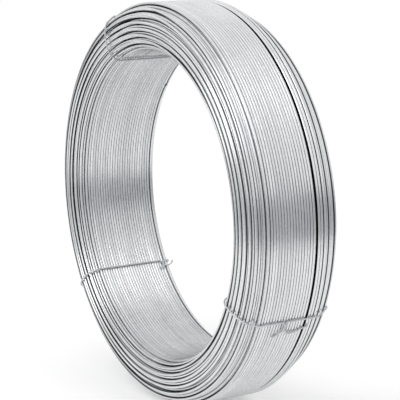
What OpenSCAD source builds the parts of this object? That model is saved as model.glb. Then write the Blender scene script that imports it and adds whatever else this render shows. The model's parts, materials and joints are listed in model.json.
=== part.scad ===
// Coil of galvanized steel wire, wound in layers on a mandrel and held by three twisted tie wires.
// The coil stands on its rim, its axis level along Y and its front end towards -Y.
// Origin: on the floor, under the middle of the coil.

/* [Wire] */
// Diameter of the coiled wire
wire_d = 2; // [1.4:0.1:3]
// Gap between neighbouring turns of a layer
turn_gap = 0.02; // [0:0.01:0.3]
// Gap between one layer and the next
layer_gap = 0.07; // [0:0.01:0.3]
// Depth of the groove between two turns
groove_depth = 0.55; // [0.2:0.05:0.65]

/* [Coil] */
// Inside diameter, across the innermost turns
bore_d = 208; // [150:1:260]
// Width across the two ends, wire included
coil_w = 64.5; // [52:0.5:90]
// Layers of wire from the bore to the outside
layers = 15; // [12:1:24]
// Rounding of the outer edge at the front end, measured across the layers
front_depth = 18; // [4:0.5:20]
// Rounding of the outer edge at the front end, measured along the coil
front_reach = 9.4; // [3:0.1:14]
// Last layers that stop short at the back end
back_layers = 3; // [1:1:4]
// How far each of them stops short of the layer under it
back_step = 3.55; // [2:0.05:7]
// Rounding of the bore's edge at the front end
bore_front = 7.5; // [1:0.5:9]
// Rounding of the bore's edge at the back end
bore_back = 2.4; // [1:0.1:9]

/* [Ties] */
// Diameter of the tie wire
tie_d = 1.1; // [0.7:0.1:1.6]
// Clearance between a tie and the turns under it
tie_gap = 0.1; // [0.05:0.05:0.4]
// Place of the first tie round the coil
tie_a_angle = 117; // [95:1:150]
// Place of the second tie round the coil
tie_b_angle = 217; // [190:1:240]
// Place of the third tie round the coil
tie_c_angle = 337; // [310:1:350]
// Length of the twist that closes a tie
twist_l = 4.5; // [3:0.5:7]
// Full turns in the twist
twist_turns = 1; // [1:1:2]
// Radius at which a tie turns aside into its twist
twist_bend = 1.6; // [1.2:0.1:2.5]
// Place of the first tie's twist on the rim, from the middle towards the front end
twist_a_h = 6; // [2:0.1:7]
// Place of the second tie's twist in the bore, from the rounding at the back end
twist_b_in = 2.8; // [2.5:0.1:14]
// Place of the third tie's twist on the rim, from the middle towards the front end
twist_c_h = 3.4; // [2:0.1:7]

/* [Hidden] */
turn_pitch = wire_d + turn_gap;
layer_pitch = wire_d + layer_gap;
// Radii of the innermost and outermost turns, at the middle of the wire
inner_r = (bore_d + wire_d) / 2;
outer_r = inner_r + (layers - 1) * layer_pitch;
rim_r = outer_r + wire_d / 2;
half_w = (coil_w - wire_d) / 2;
// Roundings at the middle of the wire, no larger than the wall has room for
wall = outer_r - inner_r;
bore_front_r = min(bore_front, wall / 2);
bore_back_r = min(bore_back, wall / 2);
front_deep = min(front_depth, wall - bore_front_r);
// Topmost layer that reaches the back end, and the slope of the ends of those over it
full_layer = layers - 1 - back_layers;
back_slope = atan(layer_pitch / back_step);
core_lift = wire_d / 2 - groove_depth;
// Distance from the middle of the outer turns to the middle of a tie laid over them
tie_off = (wire_d + tie_d) / 2 + tie_gap;
// Distance of each of the two strands from the middle of a twist
strand = (tie_d + tie_gap) / 2;
round_steps = 180;
arc_steps = 6;
edge_steps = 12;
bend_steps = 4;
twist_steps = 12;
smooth_steps = 3;
tie_sides = 8;
// Flats that a turn of wire shows in section, the wire's diameter apart
wire_sides = 12;
// Sides of the wall that a twist lies on, and ways round the coil that it points
on_rim_side = 1;
on_bore_side = -1;
forward = 1;
backward = -1;
// Free ends of the ties: sideways from the twist's end, along the coil from the twist, lift off the turns
plain_tail = [[1.9, 3, 0.3], [4.4, 6.5, 0]];
plain_hook = [[1.9, -3, 0.3], [3.9, -7, 0]];
bore_tail = [[1.4, -0.5, 1.5], [0.9, -1.5, 4]];
bore_hook = [[1.9, 2.5, 0.4], [3.4, 6, 0]];
rim_tail = [[1.9, 2.5, 0.4], [5.4, 6.7, 0]];
rim_hook = [[2.5, -2.2, 0.4], [3.5, -5.5, 0.2], [3.1, -10, 0], [1.1, -14.5, 0], [-0.4, -18.8, 0]];

// How far a rounded edge has drawn in along the coil, at a depth across the layers
function inset(depth, deep, reach) =
    depth >= deep ? 0 : reach * (1 - sqrt(1 - pow(1 - depth / deep, 2)));

function layer_r(i) = inner_r + i * layer_pitch;

// Farthest place of a layer's end turns, at the front (+) and at the back (-) end
function front_edge(i) =
    half_w - inset(outer_r - layer_r(i), front_deep, front_reach)
    - inset(layer_r(i) - inner_r, bore_front_r, bore_front_r);
function back_edge(i) =
    -half_w + back_step * max(0, i - full_layer)
    + inset(layer_r(i) - inner_r, bore_back_r, bore_back_r);

// Layers are wound there and back, so every other one starts at the back end
function turns(i) = floor((front_edge(i) - back_edge(i)) / turn_pitch) + 1;
function first_turn(i) = i % 2 == 0 ? front_edge(i) - (turns(i) - 1) * turn_pitch : back_edge(i);
function last_turn(i) = first_turn(i) + (turns(i) - 1) * turn_pitch;

// A turn shows in the bore, on the rim, at its layer's ends, or where the next layer stops short
function shows(i, h) =
    i == 0 || i == layers - 1 || h < first_turn(i) + turn_pitch / 2 || h > last_turn(i) - turn_pitch / 2
    || h < first_turn(i + 1) || h > last_turn(i + 1) || h < first_turn(i - 1) || h > last_turn(i - 1);

// Band of solid core between two radii and two heights
module core_band(from_r, to_r, from_h, to_h) {
    translate([from_r, from_h - core_lift]) square([to_r - from_r, to_h - from_h + 2 * core_lift]);
}

module wire_section() {
    rotate(180 / wire_sides) circle(d = wire_d / cos(180 / wire_sides), $fn = wire_sides);
}

module coil_section() {
    for (i = [0 : layers - 1]) {
        core_band(layer_r(i) - core_lift, layer_r(i) + core_lift, first_turn(i), last_turn(i));
        if (i > 0)
            core_band(layer_r(i - 1), layer_r(i),
                max(first_turn(i - 1), first_turn(i)), min(last_turn(i - 1), last_turn(i)));
        for (k = [0 : turns(i) - 1]) {
            h = first_turn(i) + k * turn_pitch;
            if (shows(i, h))
                translate([layer_r(i), h]) wire_section();
        }
    }
}

// Stands the coil, made about the vertical, on its rim with its front end towards -Y
module on_rim() {
    translate([0, 0, rim_r]) rotate([90, 0, 0]) children();
}

module wire_coil() {
    color("silver") on_rim() rotate_extrude($fn = round_steps) coil_section();
}

// Tubes swept along a route
function unit(v) = v / norm(v);
function smooth_at(p, i, t) =
    let (n = len(p) - 1, a = p[max(i - 1, 0)], b = p[i], c = p[i + 1], d = p[min(i + 2, n)])
    (2 * b + (c - a) * t + (2 * a - 5 * b + 4 * c - d) * t * t + (3 * b - a - 3 * c + d) * t * t * t) / 2;
function smooth(p, steps) =
    [for (i = [0 : len(p) - 2], k = [0 : steps - 1]) smooth_at(p, i, k / steps), p[len(p) - 1]];
function tangents(p) =
    [for (i = [0 : len(p) - 1]) unit(p[min(i + 1, len(p) - 1)] - p[max(i - 1, 0)])];
function normals(t, start) =
    [for (i = 0, n = unit(start - (start * t[0]) * t[0]); i < len(t);
        i = i + 1, n = i < len(t) ? unit(n - (n * t[i]) * t[i]) : n) n];

module tube(route, d, start) {
    t = tangents(route);
    n = normals(t, start);
    last = len(route) - 1;
    points = [for (i = [0 : last], k = [0 : tie_sides - 1])
        let (a = 360 * k / tie_sides)
        route[i] + d / 2 * (cos(a) * n[i] + sin(a) * cross(t[i], n[i]))];
    sides = [for (i = [0 : last - 1], k = [0 : tie_sides - 1])
        let (a = i * tie_sides, b = a + tie_sides, next = (k + 1) % tie_sides)
        [a + k, b + k, b + next, a + next]];
    caps = [[for (k = [0 : tie_sides - 1]) k],
        [for (k = [tie_sides - 1 : -1 : 0]) last * tie_sides + k]];
    polyhedron(points, concat(sides, caps));
}

// The loop of a tie round the section, as arcs of [radius, height] whose chords stay outside the true arc
function arc(r, h, radius, from, to) =
    let (step = (to - from) / arc_steps, reach = radius / cos(step / 2))
    [for (k = [0 : arc_steps]) let (a = from + k * step) [r + reach * cos(a), h + reach * sin(a)]];
// The tie over the rounded front edge, a quarter of an ellipse that it follows at its own distance
function front_edge_arc() =
    [for (k = [0 : edge_steps])
        let (a = 90 * k / edge_steps, out = unit([front_reach * cos(a), front_deep * sin(a)]))
        [outer_r - front_deep * (1 - cos(a)), half_w - front_reach * (1 - sin(a))] + tie_off * out];
function front_arcs() = concat(front_edge_arc(),
    arc(inner_r + bore_front_r, half_w - bore_front_r, bore_front_r + tie_off, 90, 180));
function back_arcs() = concat(
    arc(inner_r + bore_back_r, bore_back_r - half_w, bore_back_r + tie_off, 180, 270),
    arc(layer_r(full_layer), -half_w, tie_off, 270, 360 - back_slope),
    arc(outer_r, back_edge(layers - 1), tie_off, 360 - back_slope, 360));

// A tie's two legs in [sideways, height, lift] about its twist, from the free end to the wall (sign 1 or -1)
function strand_bend(sign) =
    [for (k = [0 : bend_steps]) let (a = 90 * k / bend_steps)
        [twist_bend * (1 - sin(a)), sign * (strand + twist_bend * (1 - cos(a))), strand * (1 - sin(a))]];
function twisted(sign) =
    [for (k = [0 : twist_steps - 1]) let (a = 360 * twist_turns * (1 - k / twist_steps))
        [twist_bend + twist_l * (1 - k / twist_steps), sign * strand * cos(a), strand * (1 + sign * sin(a))]];
function reversed(p) = [for (k = [len(p) - 1 : -1 : 0]) p[k]];
function free_end(sign, points) =
    let (twist_end = twist_bend + twist_l)
    smooth(concat([for (p = reversed(points)) p + [twist_end, 0, 0]],
        [[twist_end, sign * strand, strand]]), smooth_steps);
function leg(sign, points) =
    let (ends = free_end(sign, points))
    concat([for (k = [0 : len(ends) - 2]) ends[k]], twisted(sign), strand_bend(sign));

function around(r, angle, w, h) = let (a = angle + w / r * 180 / PI) [r * cos(a), r * sin(a), h];
function placed(leg_points, side, angle, turn, h) =
    let (r = side > 0 ? outer_r + tie_off : inner_r - tie_off)
    [for (p = leg_points) around(r + side * p[2], angle, turn * p[0], h + side * p[1])];

function tie_route(side, angle, turn, h, tail, hook) =
    let (loop = side > 0 ? concat(front_arcs(), back_arcs()) : concat(back_arcs(), front_arcs()))
    concat(placed(leg(1, tail), side, angle, turn, h),
        [for (p = loop) around(p[0], angle, 0, p[1])],
        reversed(placed(leg(-1, hook), side, angle, turn, h)));

module tie_wire(side, angle, turn, h, tail, hook) {
    color("gainsboro") on_rim()
        tube(tie_route(side, angle, turn, h, tail, hook), tie_d, [cos(angle + 90), sin(angle + 90), 0]);
}

module tie_wire_a() {
    tie_wire(on_rim_side, tie_a_angle, forward, twist_a_h, plain_tail, plain_hook);
}

module tie_wire_b() {
    tie_wire(on_bore_side, tie_b_angle, forward, bore_back_r - half_w + twist_b_in, bore_tail, bore_hook);
}

module tie_wire_c() {
    tie_wire(on_rim_side, tie_c_angle, backward, twist_c_h, rim_tail, rim_hook);
}

wire_coil();
tie_wire_a();
tie_wire_b();
tie_wire_c();
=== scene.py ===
# %% [markdown]
# # A coil of galvanized wire
# The object is one long steel wire with a bright zinc coat, wound there and back in layers and held by
# three thin tie wires. The CAD frame has the coil as one turned solid. Here the turns that show become real
# wire, so that every groove, step and dark gap of the winding is a shape; the grooves also get painted shade.

# %% Load the frame
import json
from itertools import accumulate

import bpy
import numpy as np
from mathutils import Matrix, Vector


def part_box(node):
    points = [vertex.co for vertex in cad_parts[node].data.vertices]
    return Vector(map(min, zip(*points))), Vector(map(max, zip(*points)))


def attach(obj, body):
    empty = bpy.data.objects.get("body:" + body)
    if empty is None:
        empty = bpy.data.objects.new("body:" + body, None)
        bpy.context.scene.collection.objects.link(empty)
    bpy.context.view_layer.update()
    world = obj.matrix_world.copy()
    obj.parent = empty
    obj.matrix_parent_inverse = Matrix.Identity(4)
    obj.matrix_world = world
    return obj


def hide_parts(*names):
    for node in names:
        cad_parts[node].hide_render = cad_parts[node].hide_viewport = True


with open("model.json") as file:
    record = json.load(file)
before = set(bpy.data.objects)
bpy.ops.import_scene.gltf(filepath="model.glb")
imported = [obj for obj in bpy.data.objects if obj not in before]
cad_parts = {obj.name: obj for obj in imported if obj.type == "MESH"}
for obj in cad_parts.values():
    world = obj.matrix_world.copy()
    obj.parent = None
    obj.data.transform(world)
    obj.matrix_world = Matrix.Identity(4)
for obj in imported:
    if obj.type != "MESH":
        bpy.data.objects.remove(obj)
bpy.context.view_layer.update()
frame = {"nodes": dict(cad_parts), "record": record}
MM = 0.001
FULL_TURN = 2 * np.pi
print("nodes:", sorted(frame["nodes"]))

# %% [markdown]
# ## The sizes
# The CAD box gives the outside of the coil, and the record's bore mount gives the inside. A length across
# the layers is a radius from the coil's axis, and a length along the coil is a height, counted from the
# middle towards the front end. The coil stands on its rim, so its axis is level and lies one rim radius
# above the floor.

# %% Sizes from the frame
coil_low, coil_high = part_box("wire_coil")
bore_mount = next(mount for mount in frame["record"]["mounts"] if mount["name"] == "bore")
WIRE_D = 2.0 * MM
WIRE_R = WIRE_D / 2
RIM_R = (coil_high.x - coil_low.x) / 2
HALF_W = (coil_high.y - coil_low.y) / 2 - WIRE_R
INNER_R = bore_mount["dims"]["r_mm"] * MM + WIRE_R
OUTER_R = RIM_R - WIRE_R
TURN_PITCH = 2.02 * MM
LAYERS = 15
LAST = LAYERS - 1
print(f"coil {2 * RIM_R / MM:.1f} mm across, {2 * (HALF_W + WIRE_R) / MM:.1f} mm wide")


def to_frame(radius, angle, height):
    """Cylinder to frame: x = radius cos(angle), z = axis + radius sin(angle), and the front end lies
    towards -y."""
    radius, angle, height = np.broadcast_arrays(radius, angle, height)
    return np.stack([radius * np.cos(angle), -height, RIM_R + radius * np.sin(angle)], axis=-1)


# %% [markdown]
# ## The camera
# The photograph was taken from the right of the front end and a little above, with a long lens. The camera
# looks past the coil's middle by a few millimetres, which puts the coil a little left of the picture's
# middle. Its distance is counted in radii of the coil, and the same count times that radius in pixels is
# the lens.

# %% Camera
IMAGE_PX = 400
SENSOR_MM = 36.0
AZIMUTH = np.radians(59.79)
ELEVATION = np.radians(12.06)
RADII_AWAY = 8
FITTED_R = 135 * MM
FITTED_R_PX = 199.75
COIL_PX = (187.6, 201.3)

DISTANCE = RADII_AWAY * FITTED_R
FOCAL_PX = RADII_AWAY * FITTED_R_PX
centre = Vector((0, 0, RIM_R))
level = np.cos(ELEVATION)
towards = Vector((np.sin(AZIMUTH) * level, -np.cos(AZIMUTH) * level, np.sin(ELEVATION)))
right = Vector((np.cos(AZIMUTH), np.sin(AZIMUTH), 0))
up = towards.cross(right)
metres_per_px = DISTANCE / FOCAL_PX
aside_px, below_px = [IMAGE_PX / 2 - pixel for pixel in COIL_PX]
aim = centre + aside_px * metres_per_px * right - below_px * metres_per_px * up
camera_data = bpy.data.cameras.new("camera")
camera_data.sensor_width = SENSOR_MM
camera_data.lens = FOCAL_PX * SENSOR_MM / IMAGE_PX
camera = bpy.data.objects.new("camera", camera_data)
camera.location = centre + DISTANCE * towards
camera.rotation_euler = (aim - camera.location).to_track_quat("-Z", "Y").to_euler()
bpy.context.scene.collection.objects.link(camera)
bpy.context.scene.camera = camera
print(f"camera {DISTANCE:.2f} m away, lens {camera_data.lens:.0f} mm")

# %% [markdown]
# ## The section of the winding
# A layer reaches from the back end to the front end, less the rounding of the edges. At the front the outer
# layers draw in along a quarter of an ellipse, and at the back the last three stop short one after the
# other. A wound coil is never quite flat on its ends. Every second layer turns back a little early and lies
# closer to the layer below, in whose groove the wire drops, so the layers come in nested pairs. A few stop
# shorter still, each by its own length. Those are the dark rings on the ends.

# %% Ends of the layers
FRONT_DEPTH = 18.0 * MM
FRONT_REACH = 9.4 * MM
BORE_FRONT = 7.5 * MM
BORE_BACK = 2.4 * MM
BACK_LAYERS = 3
BACK_STEP = 3.55 * MM
EARLY = 0.9 * MM
PAIR = 0.3 * MM
UNEVEN = 0.35 * MM
SHORT_LAYERS = [3, 9, 13]
SHORT = np.array([1.0, 1.0, 2.2]) * MM
COUNT_SLACK = 0.001
rng = np.random.default_rng(7)


def rounding(depth, deep, reach):
    """Ellipse edge: at a depth under the face it has drawn in by
    reach (1 - sqrt(1 - (1 - depth / deep)^2))."""
    share = np.clip(1 - depth / deep, 0, 1)
    return reach * (1 - np.sqrt(1 - share**2))


layer = np.arange(LAYERS)
layer_r = np.linspace(INNER_R, OUTER_R, LAYERS)
layer_r[1:LAST:2] -= PAIR
front_end = HALF_W - rounding(OUTER_R - layer_r, FRONT_DEPTH, FRONT_REACH)
front_end -= rounding(layer_r - INNER_R, BORE_FRONT, BORE_FRONT)
back_end = -HALF_W + BACK_STEP * np.clip(layer - (LAST - BACK_LAYERS), 0, None)
back_end += rounding(layer_r - INNER_R, BORE_BACK, BORE_BACK)
layer_turns = np.floor((front_end - back_end) / TURN_PITCH + 1 + COUNT_SLACK).astype(int)

inside = (layer > 0) & (layer < LAST)
front_end -= inside * (EARLY * (layer % 2) + rng.uniform(0, UNEVEN, LAYERS))
back_end += inside * (EARLY * (1 - layer % 2) + rng.uniform(0, UNEVEN, LAYERS))
front_end[SHORT_LAYERS] -= SHORT
print(f"layers reach {front_end.min() / MM:.1f} to {front_end.max() / MM:.1f} mm towards the front end")

# %% [markdown]
# ## The winding
# The wire goes round the mandrel one turn at a time. A turn is nearly a flat ring: only in a short stretch
# does the wire step aside to the place of the next turn, or up to the next layer. So the whole winding is a
# table with one row per turn, in the order in which it was wound, and a turn's line is worked out from its
# own row and the next one. On the rim the wire was not laid quite tight: towards the back end it left a
# slot, which is the black line that runs all round the coil, and two turns further on a narrower gap.

# %% Table of turns
RIM_WAVER = 0.07 * MM
BORE_WAVER = 0.12 * MM
RIM_PITCH = 2.07 * MM
RIM_TURNS = 21
SLOT_AT = 17
SLOT = 1.5 * MM
GAP_AT = 19
GAP = 0.35 * MM
rim_turn = np.arange(RIM_TURNS)
rim_heights = front_end[LAST] - RIM_PITCH * rim_turn
rim_heights -= SLOT * (rim_turn >= SLOT_AT)
rim_heights -= GAP * (rim_turn >= GAP_AT)
back_end[LAST] = rim_heights[-1]
layer_turns[LAST] = RIM_TURNS


def layer_heights(i):
    """Heights of one layer's turns in winding order: even layers run from back to front, odd ones return."""
    heights = rim_heights[::-1] if i == LAST else np.linspace(back_end[i], front_end[i], layer_turns[i])
    return heights if i % 2 == 0 else heights[::-1]


turn_layer = np.repeat(layer, layer_turns)
turn_h = np.concatenate([layer_heights(i) for i in layer])
turn_count = turn_h.size
on_rim = turn_layer == LAST
in_bore = turn_layer == 0
turn_r = layer_r[turn_layer] - on_rim * rng.uniform(0, RIM_WAVER, turn_count)
turn_r += in_bore * rng.uniform(0, BORE_WAVER, turn_count)
next_turn = np.minimum(np.arange(turn_count) + 1, turn_count - 1)
turn_tone = rng.random(turn_count)
print(f"{turn_count} turns in {LAYERS} layers")

# %% [markdown]
# Most turns lie deep inside and are never seen, so they are left to one dark ring. A turn shows where it is
# on the rim, in the bore, or near an end that its neighbours above and below don't cover. The first layer
# counts as one turn shorter at both ends and the last one at the back, so that the turns beside them are
# kept. One more turn comes before each run: it leads the wire in from the dark, and no cut end shows.

# %% Turns that show
COVER = 1.3 * TURN_PITCH
above = np.minimum(turn_layer + 1, LAST)
below = np.maximum(turn_layer - 1, 0)
cover_front, cover_back = front_end.copy(), back_end.copy()
cover_front[0] -= TURN_PITCH
cover_back[[0, LAST]] += TURN_PITCH
least_front = np.minimum(np.minimum(cover_front[above], cover_front[below]), cover_front[turn_layer])
least_back = np.maximum(np.maximum(cover_back[above], cover_back[below]), cover_back[turn_layer])


def led_in(shown):
    """The marked turns and the one before each, less those of the rim and the bore."""
    return (shown | np.append(shown[1:], False)) & ~on_rim & ~in_bore


at_front = led_in((turn_h > least_front - COVER) & ~on_rim & ~in_bore)
at_back = led_in((turn_h < least_back + COVER) & ~on_rim & ~in_bore) & ~at_front
print(f"{(at_front | at_back | on_rim | in_bore).sum()} of {turn_count} turns show")

# %% [markdown]
# Every wire also has an outer side, the one that faces away from the pack, and the finish paints shade in
# the grooves away from it. It is found from how many turns lie between this one and the open air on each of
# the four sides: the fewer there are, the more that side counts. On the ends, the two wires of a nested pair
# lean their outer sides towards each other. That leaves less painted shade in the groove inside a pair than
# in the groove between two pairs.

# %% Outer side of each turn
PAIR_TILT = np.radians(12)
COVER_FALL = 2.0
covered = (turn_h[:, None] > back_end - WIRE_R) & (turn_h[:, None] < front_end + WIRE_R)
over = (covered & (layer > turn_layer[:, None])).sum(axis=1)
under = (covered & (layer < turn_layer[:, None])).sum(axis=1)
ahead = (front_end[turn_layer] - turn_h) / TURN_PITCH
behind = (turn_h - back_end[turn_layer]) / TURN_PITCH
out_r = np.exp(-COVER_FALL * over) - np.exp(-COVER_FALL * under)
out_h = np.exp(-COVER_FALL * ahead) - np.exp(-COVER_FALL * behind)
facing = np.arctan2(out_h, out_r)
mate = np.where(on_rim | in_bore, 0, 2 * (turn_layer % 2) - 1)
outer_side = facing + PAIR_TILT * mate * np.sin(facing)
print(f"outer side of the middle rim turn: {np.degrees(outer_side[on_rim][RIM_TURNS // 2]):.0f} degrees")

# %% [markdown]
# ## One length of wire
# A run of neighbouring turns is a tube along its line. The tube is a grid: one way along the line, the
# other way round the wire. Because the line is nearly a circle about the axis, the two directions across
# the wire are the radius and the axis everywhere, and the whole grid comes from one sum of arrays. The
# steps of the layers inside lie a little left of the top, those of the bore and the rim on the far sides.

# %% Line of a run of turns
STEPS_PER_TURN = 180
START_ANGLE = np.radians(140)
STEP_WIDTH = np.radians(48)
INSIDE_LAG_DEG = 26
BORE_LAG_DEG = 110
RIM_LAG_DEG = 290
WANDER = 0.06 * MM
OUTER_END = 10
wander_count = np.array([2, 3, 5, 9])[:, None]
lag_deg = rng.uniform(0, INSIDE_LAG_DEG, LAYERS)
lag_deg[0] = BORE_LAG_DEG
lag_deg[LAST] = RIM_LAG_DEG
step_lag = np.radians(lag_deg)
wander_phase = rng.uniform(0, FULL_TURN, (wander_count.size, turn_count))


def smooth_step(t):
    """0 before 0, 1 after 1, and 3 t^2 - 2 t^3 between them."""
    t = np.clip(t, 0, 1)
    return t * t * (3 - 2 * t)


def carried(values, turn, moved):
    """A value of the turns that goes over to the next turn's as the wire steps:
    value + (next - value) moved."""
    return values[turn] + (values[next_turn[turn]] - values[turn]) * moved


def run_line(first, count):
    """Line of count turns from turn first on: each holds its radius and height, then steps to the next
    turn's. The step is a smooth step that ends step_lag before the turn does, and a few slow waves let the
    wire wander. The very last turn is cut off after OUTER_END stations, before it would lie on the one
    before it. Returns each station's turn, how far it has stepped, radius, angle and height."""
    stations = count * STEPS_PER_TURN + 1
    if first + count == turn_count:
        stations -= STEPS_PER_TURN - OUTER_END
    station = np.arange(stations)
    turn = first + np.minimum(station // STEPS_PER_TURN, count - 1)
    swept = FULL_TURN * (station / STEPS_PER_TURN - (turn - first))
    step_end = FULL_TURN - step_lag[turn_layer[turn]]
    moved = smooth_step((swept - step_end + STEP_WIDTH) / STEP_WIDTH)
    radius, height = carried(turn_r, turn, moved), carried(turn_h, turn, moved)
    waves = np.sin(wander_count * swept + wander_phase[:, turn]) / wander_count
    height = height + WANDER * waves.sum(axis=0) * np.sin(swept / 2) ** 2
    return turn, moved, radius, START_ANGLE + FULL_TURN * station / STEPS_PER_TURN, height


print(f"steps inside the coil end up to {lag_deg[inside].max():.0f} degrees before the turn does")

# %% [markdown]
# The grid's faces are numbers of corners, and they also come from one sum of arrays. Each corner carries
# three attributes for the finish: its place on the wire, as the length along it and the direction round it,
# the tone of its turn, and how far out of the pack it lies, from 0 in the groove to 1 on the crest, which
# sets how much painted shade the groove gets. On the ends of the coil the painted shade reaches less far
# down a wire's sides, so its crest falls off less. The edges round a cut end are sharp.

# %% Tube grids and meshes
SIDES = 12
END_SHADE_EASE = 0.15


def tube_faces(stations, sides, start):
    """Corner numbers of a tube's skin: each station's ring joined to the next, and a flat cap on each end."""
    ring = np.arange(stations - 1)[:, None] * sides
    side = np.arange(sides)[None, :]
    after = (side + 1) % sides
    quads = np.stack([ring + side, ring + after, ring + sides + after, ring + sides + side], axis=-1)
    caps = np.stack([np.arange(sides)[::-1], (stations - 1) * sides + np.arange(sides)])
    return start + quads.reshape(-1, 4), start + caps


def new_piece(name, corners, quads, caps, finish):
    """A mesh from arrays, the quads first and then the caps, with the finish's attributes on its corners."""
    mesh = bpy.data.meshes.new(name)
    totals = np.concatenate([np.full(len(quads), 4), np.full(len(caps), caps.shape[1])])
    mesh.vertices.add(len(corners))
    mesh.vertices.foreach_set("co", corners.ravel())
    mesh.loops.add(totals.sum())
    mesh.loops.foreach_set("vertex_index", np.concatenate([quads.ravel(), caps.ravel()]))
    mesh.polygons.add(totals.size)
    mesh.polygons.foreach_set("loop_start", np.cumsum(totals) - totals)
    mesh.polygons.foreach_set("use_smooth", totals == 4)
    for key, values in finish.items():
        kind, field = ("FLOAT_VECTOR", "vector") if values.ndim == 2 else ("FLOAT", "value")
        attribute = mesh.attributes.new(key, kind, "POINT")
        attribute.data.foreach_set(field, values.astype(np.float32).ravel())
    mesh.update(calc_edges=True)
    on_cap = np.zeros(len(corners), bool)
    on_cap[caps] = True
    ends = np.empty(2 * len(mesh.edges), np.int32)
    mesh.edges.foreach_get("vertices", ends)
    mesh.edges.foreach_set("use_edge_sharp", on_cap[ends.reshape(-1, 2)].all(axis=1))
    piece = bpy.data.objects.new(name, mesh)
    bpy.context.scene.collection.objects.link(piece)
    print(f"{name}: {2 * len(quads) + (caps.shape[1] - 2) * len(caps)} triangles")
    return piece


def run_tube(first, count):
    """Skin of a run: line + WIRE_R (cos(a) radius direction + sin(a) axis direction), a going round the wire.
    Returns the corners and the finish's attributes."""
    turn, moved, radius, angle, height = run_line(first, count)
    around = -FULL_TURN * np.arange(SIDES) / SIDES
    skin_r = radius[:, None] + WIRE_R * np.cos(around)
    skin_h = height[:, None] + WIRE_R * np.sin(around)
    corners = to_frame(skin_r, angle[:, None], skin_h)
    length = (radius * (angle + FULL_TURN * first))[:, None]
    lay = np.stack(np.broadcast_arrays(length, np.cos(around), np.sin(around)), axis=-1)
    side = np.arctan2(carried(np.sin(outer_side), turn, moved), carried(np.cos(outer_side), turn, moved))
    # Painted shade: crest runs from 0 facing the pack to 1 on the outer side, and the finish darkens the wire
    # towards the groove colour where it falls; on the ends it falls off less, so the shade stays narrower.
    crest = 0.5 + 0.5 * np.cos(around - side[:, None])
    crest += END_SHADE_EASE * (1 - crest) * np.abs(np.sin(side))[:, None]
    tone = np.broadcast_to(carried(turn_tone, turn, moved)[:, None], crest.shape)
    return corners.reshape(-1, 3), {"lay": lay.reshape(-1, 3), "tone": tone.ravel(), "crest": crest.ravel()}


def wound_piece(name, shown):
    """All the turns marked in shown as one piece: each run of turns that follow one another is one tube."""
    number = np.flatnonzero(shown)
    edges = np.flatnonzero(np.diff(number) > 1) + 1
    runs = np.split(number, edges)
    tubes = [run_tube(run[0], run.size) for run in runs]
    starts = np.cumsum([0] + [len(corners) for corners, _ in tubes])
    faces = [tube_faces(len(corners) // SIDES, SIDES, start) for (corners, _), start in zip(tubes, starts)]
    corners = np.concatenate([corners for corners, _ in tubes])
    quads = np.concatenate([skin for skin, _ in faces])
    caps = np.concatenate([ends for _, ends in faces])
    finish = {key: np.concatenate([values[key] for _, values in tubes]) for key in tubes[0][1]}
    return new_piece(name, corners, quads, caps, finish)


# %% [markdown]
# The turns that show make four pieces, one for each side of the coil. The wire's own two ends are among
# them: the inner one at the back of the bore, and the outer one on the front edge of the rim.

# %% The wound pieces
rim_turns = wound_piece("rim_turns", on_rim)
bore_turns = wound_piece("bore_turns", in_bore)
front_turns = wound_piece("front_end_turns", at_front)
back_turns = wound_piece("back_end_turns", at_back)

# %% [markdown]
# ## The packed turns under the surface
# Between the turns that show, one looks down on the turns beneath them, which lie in the dark. They are one
# dark ring here, a section carried once round the axis. Its section steps from layer to layer, about a
# wire's radius behind the last turn of each, so that it never rises between the crests of the wires that
# lie on it.

# %% Packed turns
CORE_STEPS = 180
CORE_LIFT = 0.3 * MM
CORE_BACK = 1.1 * MM
CORE_GAP = 0.05 * MM


def stepped_end(ends):
    """One end of the section, from the second layer to the last but one, as points [radius, height]: each
    layer keeps its own height within CORE_LIFT of its middle, and the space between two layers the lesser of
    theirs, less CORE_GAP."""
    inner = ends[1:LAST]
    lesser = np.minimum(inner[:-1], inner[1:]) - CORE_GAP
    low, high = layer_r[1:LAST] - CORE_LIFT, layer_r[1:LAST] + CORE_LIFT
    radius = np.stack([low, high, high, np.append(low[1:], high[-1])], axis=1).ravel()[:-2]
    height = np.stack([inner, inner, np.append(lesser, 0), np.append(lesser, 0)], axis=1).ravel()[:-2]
    return radius, height


def ring_surface(radius, height, steps):
    """A closed section of points [radius, height] carried round the axis in equal steps, closed both ways."""
    angle = FULL_TURN * np.arange(steps) / steps
    corners = to_frame(radius[None, :], angle[:, None], height[None, :]).reshape(-1, 3)
    i, j = np.meshgrid(np.arange(steps), np.arange(radius.size), indexing="ij")
    ring, next_ring = i * radius.size, (i + 1) % steps * radius.size
    along = (j + 1) % radius.size
    quads = np.stack([ring + j, ring + along, next_ring + along, next_ring + j], axis=-1)
    return corners, quads.reshape(-1, 4)


front_radius, front_height = stepped_end(front_end - CORE_BACK)
back_radius, back_height = stepped_end(-back_end - CORE_BACK)
core_radius = np.concatenate([front_radius, back_radius[::-1]])
core_height = np.concatenate([front_height, -back_height[::-1]])
core_corners, core_quads = ring_surface(core_radius, core_height, CORE_STEPS)
packed_turns = new_piece("packed_turns", core_corners, core_quads, np.zeros((0, 4), int), {})

# %% [markdown]
# ## The tie wires
# Three pieces of thin soft wire hold the coil. Each goes once round the section, and its two ends are
# twisted together and bent down. A tie follows the section just clear of the turns, as a line of arcs and
# straights. Its twist is two strands that circle each other, and its free ends run on from there along
# listed points.

# %% Line of a tie round the section
TIE_D = 1.1 * MM
TIE_R = TIE_D / 2
TIE_CLEAR = 0.1 * MM
TIE_OFF = (WIRE_D + TIE_D) / 2 + TIE_CLEAR
ARC_STEPS = 16


def arc(radius, height, reach, start, stop):
    """Points [radius, height] on a circle about a middle, from one angle to another, in degrees."""
    angle = np.radians(np.linspace(start, stop, ARC_STEPS))
    return np.stack([radius + reach * np.cos(angle), height + reach * np.sin(angle)], axis=-1)


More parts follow.
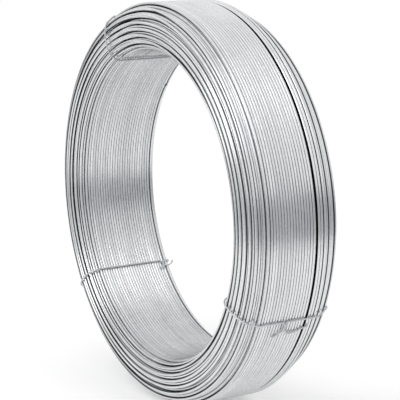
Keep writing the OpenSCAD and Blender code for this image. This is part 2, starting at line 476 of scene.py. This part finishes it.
def front_shoulder():
    """The front edge: taut from the first rim turn to the layer two below it, over the short one between
    them, then along the ellipse. All of it is moved out by TIE_OFF along its own normal."""
    start = np.arccos(1 - (OUTER_R - layer_r[LAST - 2]) / FRONT_DEPTH)
    angle = np.linspace(start, np.pi / 2, ARC_STEPS)
    edge_r = OUTER_R - FRONT_DEPTH * (1 - np.cos(angle))
    edge_h = HALF_W - FRONT_REACH * (1 - np.sin(angle))
    edge = np.stack([edge_r, edge_h], axis=-1)
    normal = np.stack([FRONT_REACH * np.cos(angle), FRONT_DEPTH * np.sin(angle)], axis=-1)
    taut = np.degrees(np.arctan2(OUTER_R - edge_r[0], edge_h[0] - front_end[LAST]))
    bent = np.degrees(np.arctan2(normal[0, 1], normal[0, 0]))
    return np.concatenate([
        arc(OUTER_R, front_end[LAST], TIE_OFF, 0, taut),
        arc(edge_r[0], edge_h[0], TIE_OFF, taut, bent),
        edge + TIE_OFF * normal / np.linalg.norm(normal, axis=1, keepdims=True),
    ])


full_layer = LAST - BACK_LAYERS
back_slope = np.degrees(np.arctan2(OUTER_R - layer_r[full_layer], back_end[LAST] + HALF_W))
front_arcs = np.concatenate([
    front_shoulder(),
    arc(INNER_R + BORE_FRONT, HALF_W - BORE_FRONT, BORE_FRONT + TIE_OFF, 90, 180),
])
back_arcs = np.concatenate([
    arc(INNER_R + BORE_BACK, BORE_BACK - HALF_W, BORE_BACK + TIE_OFF, 180, 270),
    arc(layer_r[full_layer], -HALF_W, TIE_OFF, 270, 360 - back_slope),
    arc(OUTER_R, back_end[LAST], TIE_OFF, 360 - back_slope, 360),
])
print(f"tie round the section: {len(front_arcs) + len(back_arcs)} points")

# %% [markdown]
# The ends of a tie are given as [sideways, along, lift] from the middle of its twist: sideways round the
# coil, along its axis, and lift off the turns. The same three numbers serve on the rim and in the bore.

# %% Ends of a tie
STRAND_CLEAR = 0.1 * MM
STRAND = (TIE_D + STRAND_CLEAR) / 2
TWIST_BEND = 1.6 * MM
TWIST_STEPS = 24


def tie_leg(sign, twist_l, free_points):
    """From the free end, along the twist, to where the strand turns into the tie's loop. The twist is
    [sideways falling, sign STRAND cos(a), STRAND (1 + sign sin(a))] over one whole turn of a."""
    share = np.linspace(1, 0, TWIST_STEPS)
    turn = FULL_TURN * share
    twist = np.stack([
        TWIST_BEND + twist_l * share,
        sign * STRAND * np.cos(turn),
        STRAND * (1 + sign * np.sin(turn)),
    ], axis=-1)
    bend = np.radians(np.linspace(0, 90, ARC_STEPS))
    corner = np.stack([
        TWIST_BEND * (1 - np.sin(bend)),
        sign * (STRAND + TWIST_BEND * (1 - np.cos(bend))),
        STRAND * (1 - np.sin(bend)),
    ], axis=-1)
    free = np.array(free_points)[::-1] * MM + [TWIST_BEND + twist_l, 0, 0]
    return np.concatenate([free, twist, corner[1:]])


def tie_line(side, angle, way, height, twist_l, tail, hook):
    """The whole tie: one leg, the loop round the section, and the other leg back, as points in the frame.
    side is 1 for a twist on the rim and -1 for one in the bore, and way is 1 for a twist that points to
    growing angles and -1 for the other way."""
    foot = OUTER_R + TIE_OFF if side > 0 else INNER_R - TIE_OFF

    def placed(leg):
        return to_frame(foot + side * leg[:, 2], angle + way * leg[:, 0] / foot, height + side * leg[:, 1])

    loop = np.concatenate([front_arcs, back_arcs] if side > 0 else [back_arcs, front_arcs])
    loop = to_frame(loop[:, 0], angle, loop[:, 1])
    first_leg = placed(tie_leg(1, twist_l, tail))
    other_leg = placed(tie_leg(-1, twist_l, hook))
    return np.concatenate([first_leg, loop, other_leg[::-1]])


# %% [markdown]
# The line is then cut into equal short steps and rounded by a moving mean, and a small ring of corners is
# carried along it. The ring's first direction is handed on from station to station, each time made square
# to the line again, so the tube never twists.

# %% Tube along any line
TIE_STEP = 0.4 * MM
ROUNDING_STEPS = 5
SLANT = np.array([0.3, 0.5, 0.8])


def even_line(points):
    """The same line at equal steps, each station the mean of ROUNDING_STEPS neighbours, and the length at
    each step. At the ends the last point is repeated."""
    length = np.append(0, np.cumsum(np.linalg.norm(np.diff(points, axis=0), axis=1)))
    steps = np.linspace(0, length[-1], int(length[-1] / TIE_STEP))
    line = np.stack([np.interp(steps, length, points[:, k]) for k in range(3)], axis=-1)
    half = ROUNDING_STEPS // 2
    padded = np.concatenate([np.repeat(line[:1], half, axis=0), line, np.repeat(line[-1:], half, axis=0)])
    return np.mean([padded[k : k + len(line)] for k in range(ROUNDING_STEPS)], axis=0), steps


def squared(normal, tangent):
    """A direction made square to the line: it loses its part along the tangent and is stretched to length
    one."""
    normal = normal - tangent * np.dot(normal, tangent)
    return normal / np.linalg.norm(normal)


def line_tube(name, points, radius, tone):
    """A round tube along a line: station + radius (cos(a) first direction + sin(a) second direction)."""
    line, length = even_line(points)
    tangent = np.gradient(line, axis=0)
    tangent /= np.linalg.norm(tangent, axis=1, keepdims=True)
    start = squared(SLANT, tangent[0])
    first = np.array(list(accumulate(tangent[1:], squared, initial=start)))
    second = np.cross(tangent, first)
    around = FULL_TURN * np.arange(SIDES) / SIDES
    ring = np.cos(around)[:, None] * first[:, None, :] + np.sin(around)[:, None] * second[:, None, :]
    corners = (line[:, None, :] + radius * ring).reshape(-1, 3)
    lay = np.stack(np.broadcast_arrays(length[:, None], np.cos(around), np.sin(around)), axis=-1)
    quads, caps = tube_faces(len(line), SIDES, 0)
    finish = {"lay": lay.reshape(-1, 3), "tone": np.full(len(corners), tone), "crest": np.ones(len(corners))}
    return new_piece(name, corners, quads, caps, finish)


# %% [markdown]
# The first tie has its twist on the rim at the upper left, the second in the bore at the lower left and the
# third on the rim at the lower right. A tail is the free end of a tie's first leg, and a hook that of its
# other leg, both in millimetres. The tone makes a tie darker or paler than the next; the first tie's very
# low tone is painted shade.

# %% The three ties
ON_RIM, IN_BORE = 1, -1
ONWARD, BACKWARD = 1, -1
TIE_A_ANGLE, TIE_B_ANGLE, TIE_C_ANGLE = np.radians([117, 217, 337])
TIE_A_H = 6.0 * MM
TIE_B_H = BORE_BACK - HALF_W + 2.8 * MM
TIE_C_H = 3.4 * MM
LONG_TWIST = 4.5 * MM
SHORT_TWIST = 2.4 * MM
# The first tie's very low tone is painted shade.
TIE_A_SHADE_TONE, TIE_B_TONE, TIE_C_TONE = -0.8, 0.5, 0.4
PLAIN_TAIL = [[1.9, 3, 0.3], [3.2, 4.9, 0.1], [4.4, 6.5, 0]]
PLAIN_HOOK = [[1.9, -3, 0.3], [3, -5, 0.1], [3.9, -7, 0]]
BORE_TAIL = [
    [0.8, 1.4, 0.5], [0.9, 2.8, 0.7], [0.8, 4, 1.1], [0.6, 5, 1.9],
    [0.1, 5.7, 2.9], [-0.6, 6, 3.8], [-1.2, 6, 4.6],
]
BORE_HOOK = [[1, -1.2, 0.3], [1.6, -2.4, 0.1], [2, -3.8, 0]]
RIM_TAIL = [[1.9, 2.5, 0.4], [3.7, 4.6, 0.1], [5.4, 6.7, 0]]
RIM_HOOK = [
    [2.5, -2.2, 0.4], [3.3, -3.8, 0.3], [3.5, -5.5, 0.2], [3.4, -7.8, 0.1],
    [3.1, -10, 0], [1.1, -14.5, 0], [-0.4, -18.8, 0],
]

line_a = tie_line(ON_RIM, TIE_A_ANGLE, ONWARD, TIE_A_H, LONG_TWIST, PLAIN_TAIL, PLAIN_HOOK)
line_b = tie_line(IN_BORE, TIE_B_ANGLE, ONWARD, TIE_B_H, SHORT_TWIST, BORE_TAIL, BORE_HOOK)
line_c = tie_line(ON_RIM, TIE_C_ANGLE, BACKWARD, TIE_C_H, LONG_TWIST, RIM_TAIL, RIM_HOOK)
tie_a = line_tube("tie_a", line_a, TIE_R, TIE_A_SHADE_TONE)
tie_b = line_tube("tie_b", line_b, TIE_R, TIE_B_TONE)
tie_c = line_tube("tie_c", line_c, TIE_R, TIE_C_TONE)

# %% [markdown]
# ## Shader sums in Python
# A finish is a sum of patterns. The small class below wraps a socket, so that 1 - pattern or 0.3 * pattern
# adds the Math node for it, and any other node comes from one method.

# %% Sockets that can be added
class Paint:
    """An output socket of a shader tree. Sums with it add Math nodes to that tree."""

    def __init__(self, tree, socket=None):
        self.tree = tree
        self.socket = socket

    def node(self, kind, settings=None, inputs=None, out=0):
        """Adds a node of a kind, sets its settings first, then gives its inputs values or links."""
        node = self.tree.nodes.new(kind)
        for name, value in (settings or {}).items():
            setattr(node, name, value)
        for name, value in (inputs or {}).items():
            self.fill(node.inputs[name], value)
        return Paint(self.tree, node.outputs[out])

    def fill(self, socket, value):
        """Links a socket to a Paint, or sets it to a plain value."""
        if isinstance(value, Paint):
            self.tree.links.new(value.socket, socket)
        else:
            socket.default_value = value

    def math(self, operation, first, second):
        """A Math node of two values or Paints."""
        return self.node("ShaderNodeMath", {"operation": operation}, {0: first, 1: second})

    def __add__(self, other):
        return self.math("ADD", self, other)

    def __radd__(self, other):
        return self.math("ADD", other, self)

    def __sub__(self, other):
        return self.math("SUBTRACT", self, other)

    def __rsub__(self, other):
        return self.math("SUBTRACT", other, self)

    def __mul__(self, other):
        return self.math("MULTIPLY", self, other)

    def __rmul__(self, other):
        return self.math("MULTIPLY", other, self)


def new_material(name):
    """A node material, its Principled shader and a Paint to start sums from."""
    material = bpy.data.materials.new(name)
    material.use_nodes = True
    tree = material.node_tree
    shader = next(node for node in tree.nodes if node.type == "BSDF_PRINCIPLED")
    return material, shader, Paint(tree)


# %% [markdown]
# A Mix node has sockets for numbers, vectors and colours under the same names, so its colour sockets are
# picked by number.

# %% Mix of two colours
MIX_SHARE, MIX_LOW, MIX_HIGH, MIX_COLOUR = 0, 6, 7, 2


def mixed(paint, share, low, high):
    """A colour between low, where share is 0, and high, where it is 1."""
    inputs = {MIX_SHARE: share, MIX_LOW: low, MIX_HIGH: high}
    return paint.node("ShaderNodeMix", {"data_type": "RGBA"}, inputs, out=MIX_COLOUR)


# %% [markdown]
# ## The zinc coat
# Zinc on drawn wire is a bright satin metal. Close up it has a fine grain, long faint marks from the draw
# plate, paler and duller clouds where it has begun to weather, and turns that differ a little in tone. The
# grooves between turns get painted shade, a near black where the crest falls. The grain and the clouds are
# noise on Object coordinates, and the draw marks are noise on the place on the wire, squeezed along its
# length. All four add up to the share of the light tone, and the same patterns make the metal rougher or
# smoother.

# %% Zinc
MARK_STRETCH = (25.0, 3.0, 3.0)
MARK_SCALE, GRAIN_SCALE, CLOUD_SCALE = 1.0, 1400.0, 55.0
MARK_DETAIL, GRAIN_DETAIL, CLOUD_DETAIL = 4.0, 3.0, 3.0
TONE_LIGHT, GRAIN_LIGHT, CLOUD_LIGHT, MARK_LIGHT = 0.35, 1.6, 0.5, 0.4
LIGHT_START = 0.93
CLOUD_ROUGH, MARK_ROUGH, TONE_SMOOTH = 0.16, 0.12, 0.1
GROOVE_SHADE_FROM, GROOVE_SHADE_TO = 0.5, 0.78
RELIEF_STRENGTH = 0.25
RELIEF_DEPTH = 0.00008


def noise(paint, place, scale, detail):
    """Noise about 0.5 at a place times scale, with a number of finer layers."""
    return paint.node("ShaderNodeTexNoise", {}, {"Vector": place, "Scale": scale, "Detail": detail})


def zinc_finish(name, light, dark, groove_shade, rough):
    """Zinc between a light and a dark tone, darkened to a painted shade colour where crest falls, about as
    rough as rough.
    """
    material, shader, paint = new_material(name)
    place = paint.node("ShaderNodeTexCoord", out="Object")
    lay = paint.node("ShaderNodeAttribute", {"attribute_name": "lay"}, out="Vector")
    tone = paint.node("ShaderNodeAttribute", {"attribute_name": "tone"}, out="Fac")
    crest = paint.node("ShaderNodeAttribute", {"attribute_name": "crest"}, out="Fac")
    squeezed = paint.node("ShaderNodeVectorMath", {"operation": "MULTIPLY"}, {0: lay, 1: MARK_STRETCH})
    marks = noise(paint, squeezed, MARK_SCALE, MARK_DETAIL)
    grain = noise(paint, place, GRAIN_SCALE, GRAIN_DETAIL)
    cloud = noise(paint, place, CLOUD_SCALE, CLOUD_DETAIL)
    share = TONE_LIGHT * tone + GRAIN_LIGHT * grain + CLOUD_LIGHT * cloud + MARK_LIGHT * marks - LIGHT_START
    metal = mixed(paint, share, dark, light)
    # Painted shade: where crest falls, the colour goes towards the near black groove colour.
    shade_fade = {"Value": crest, "From Min": GROOVE_SHADE_FROM, "From Max": GROOVE_SHADE_TO}
    unshaded = paint.node("ShaderNodeMapRange", {"interpolation_type": "SMOOTHSTEP"}, shade_fade)
    colour = mixed(paint, unshaded, groove_shade, metal)
    bump = {"Strength": RELIEF_STRENGTH, "Distance": RELIEF_DEPTH, "Height": grain + marks}
    relief = paint.node("ShaderNodeBump", {}, bump)
    paint.fill(shader.inputs["Base Color"], colour)
    roughness = rough + CLOUD_ROUGH * cloud + MARK_ROUGH * marks - TONE_SMOOTH * tone
    paint.fill(shader.inputs["Roughness"], roughness)
    shader.inputs["Metallic"].default_value = 1.0
    paint.fill(shader.inputs["Normal"], relief)
    return material


COIL_LIGHT = (0.88, 0.89, 0.895, 1)
COIL_DARK = (0.6, 0.61, 0.625, 1)
# The near black groove colour is painted shade for the grooves between turns.
COIL_GROOVE_SHADE = (0.06, 0.062, 0.066, 1)
COIL_ROUGH = 0.15
TIE_LIGHT = (0.76, 0.77, 0.78, 1)
TIE_DARK = (0.45, 0.46, 0.475, 1)
TIE_ROUGH = 0.28
coil_zinc = zinc_finish("galvanized wire", COIL_LIGHT, COIL_DARK, COIL_GROOVE_SHADE, COIL_ROUGH)
tie_zinc = zinc_finish("tie wire", TIE_LIGHT, TIE_DARK, TIE_DARK, TIE_ROUGH)
wound = [rim_turns, bore_turns, front_turns, back_turns]
ties = [tie_a, tie_b, tie_c]
for piece in wound:
    piece.data.materials.append(coil_zinc)
for piece in ties:
    piece.data.materials.append(tie_zinc)
print("zinc on", len(wound) + len(ties), "pieces")

# %% [markdown]
# The packed turns are painted as shade: dull, grey and nearly black, the way the metal looks in the dark,
# with a trace of cloud.

# %% Metal in painted shade
DARKEST = (0.012, 0.012, 0.013, 1)
PALEST = (0.04, 0.041, 0.043, 1)
DIM_SCALE, DIM_DETAIL = 300.0, 2.0
DIM_ROUGH = 0.85
# Painted shade: the hidden turns are near black instead of bright zinc.
shade, shade_shader, paint = new_material("wire in painted shade")
place = paint.node("ShaderNodeTexCoord", out="Object")
cloud = noise(paint, place, DIM_SCALE, DIM_DETAIL)
dim = mixed(paint, cloud, DARKEST, PALEST)
paint.fill(shade_shader.inputs["Base Color"], dim)
shade_shader.inputs["Roughness"].default_value = DIM_ROUGH
packed_turns.data.materials.append(shade)
print("dark metal on", packed_turns.name)

# %% [markdown]
# ## Floor, light and cards
# The coil stands on a white floor in an even white light, with a soft lamp above. The floor glows a little
# for the rays that show the background, so that it comes out white and still keeps the coil's shadow.

# %% Floor
FLOOR_HALF = 8.0
FLOOR_COLOUR = (0.8, 0.8, 0.8, 1)
FLOOR_GLOW = 0.26
BLACK, WHITE = (0, 0, 0, 1), (1, 1, 1, 1)
MATT = 1.0


def seen_ray(paint):
    """1 for the rays that show the background: those of the camera, of reflections and through glass."""
    names = ("Is Camera Ray", "Is Glossy Ray", "Is Transmission Ray")
    camera_ray, glossy_ray, clear_ray = [paint.node("ShaderNodeLightPath", out=name) for name in names]
    return paint.math("MAXIMUM", paint.math("MAXIMUM", camera_ray, glossy_ray), clear_ray)


def flat_mesh(name, corners, faces):
    """A stage object from a few corners and faces."""
    mesh = bpy.data.meshes.new(name)
    mesh.from_pydata(corners, [], faces)
    stage = bpy.data.objects.new(name, mesh)
    bpy.context.scene.collection.objects.link(stage)
    return stage


floor_corners = [(FLOOR_HALF * x, FLOOR_HALF * y, 0) for x, y in ((-1, -1), (1, -1), (1, 1), (-1, 1))]
floor = flat_mesh("floor", floor_corners, [(0, 1, 2, 3)])
floor_material, floor_shader, paint = new_material("white floor")
floor_shader.inputs["Base Color"].default_value = FLOOR_COLOUR
floor_shader.inputs["Roughness"].default_value = MATT
floor_shader.inputs["Specular IOR Level"].default_value = 0.0
floor_shader.inputs["Emission Strength"].default_value = FLOOR_GLOW
glow = mixed(paint, seen_ray(paint), BLACK, WHITE)
paint.fill(floor_shader.inputs["Emission Color"], glow)
floor.data.materials.append(floor_material)
print("floor", 2 * FLOOR_HALF, "m wide")

# %% [markdown]
# Bright metal shows what is round it, and in nothing but white it would look like chalk. So two low arcs of
# card stand round the set, as a photographer does it: a darker one behind and to the right of the coil, and
# a paler one in front and to the left. Only reflections see them. They make the dark band half way up the
# coil and the dark side of every wire.

# %% Cards
CARD_R = 0.62
CARD_TOP = 0.24
CARD_FOOT = 0.002
CARD_STEPS = 48
DARK_CARD = (0.5, 0.51, 0.53, 1)
PALE_CARD = (0.68, 0.69, 0.7, 1)


def card_arc(name, start, stop, colour):
    """An upright strip on a circle about the set, from one angle to another in degrees, seen only in
    reflections."""
    angle = np.radians(np.linspace(start, stop, CARD_STEPS))
    foot = np.full(CARD_STEPS, CARD_FOOT)
    low = np.stack([CARD_R * np.cos(angle), CARD_R * np.sin(angle), foot], axis=-1)
    corners = np.concatenate([low, low + [0, 0, CARD_TOP]])
    side = np.arange(CARD_STEPS - 1)
    faces = np.stack([side, side + 1, side + 1 + CARD_STEPS, side + CARD_STEPS], axis=-1)
    card = flat_mesh(name, corners.tolist(), faces.tolist())
    material, shader, _ = new_material(name.replace("_", " "))
    shader.inputs["Base Color"].default_value = colour
    shader.inputs["Roughness"].default_value = MATT
    card.data.materials.append(material)
    card.visible_camera = False
    card.visible_diffuse = False
    card.visible_shadow = False


card_arc("dark_card", -45, 135, DARK_CARD)
card_arc("pale_card", 135, 315, PALE_CARD)
print("cards", CARD_TOP, "m high")

# %% [markdown]
# The world gives most of the light, evenly from all sides. It is a little below white for the light that
# falls on the coil, and white for the rays that show the background. One large soft lamp in front and above
# adds the paler upper side of the wires.

# %% World and lamp
WORLD_LEVEL = 0.92
KEY_PLACE = Vector((0.1, -1.5, 1.1))
KEY_SIZE = 0.9
KEY_POWER = 7.0
world = bpy.data.worlds.new("studio")
bpy.context.scene.world = world
world.use_nodes = True
background = world.node_tree.nodes["Background"]
background.inputs["Color"].default_value = WHITE
paint = Paint(world.node_tree)
paint.fill(background.inputs["Strength"], WORLD_LEVEL + (1 - WORLD_LEVEL) * seen_ray(paint))


def soft_light(name, place, size, power):
    """A square area lamp at a place, turned to the coil."""
    lamp_data = bpy.data.lights.new(name, "AREA")
    lamp_data.size = size
    lamp_data.energy = power
    lamp = bpy.data.objects.new(name, lamp_data)
    lamp.location = place
    lamp.rotation_euler = (centre - lamp.location).to_track_quat("-Z", "Y").to_euler()
    bpy.context.scene.collection.objects.link(lamp)


soft_light("key", KEY_PLACE, KEY_SIZE, KEY_POWER)
bpy.context.scene.view_settings.view_transform = "Standard"
print(f"lamp {KEY_SIZE} m wide, {(KEY_PLACE - centre).length:.2f} m from the coil's middle")

# %% [markdown]
# ## Handing over
# Every piece rides on the one body. The wound pieces and the dark ring together stand for the turned solid,
# and each tie for its own solid.

# %% Hand over
for piece in wound + [packed_turns]:
    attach(piece, "root")
    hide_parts("wire_coil")
for piece, node in zip(ties, ("tie_wire_a", "tie_wire_b", "tie_wire_c")):
    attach(piece, "root")
    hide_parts(node)
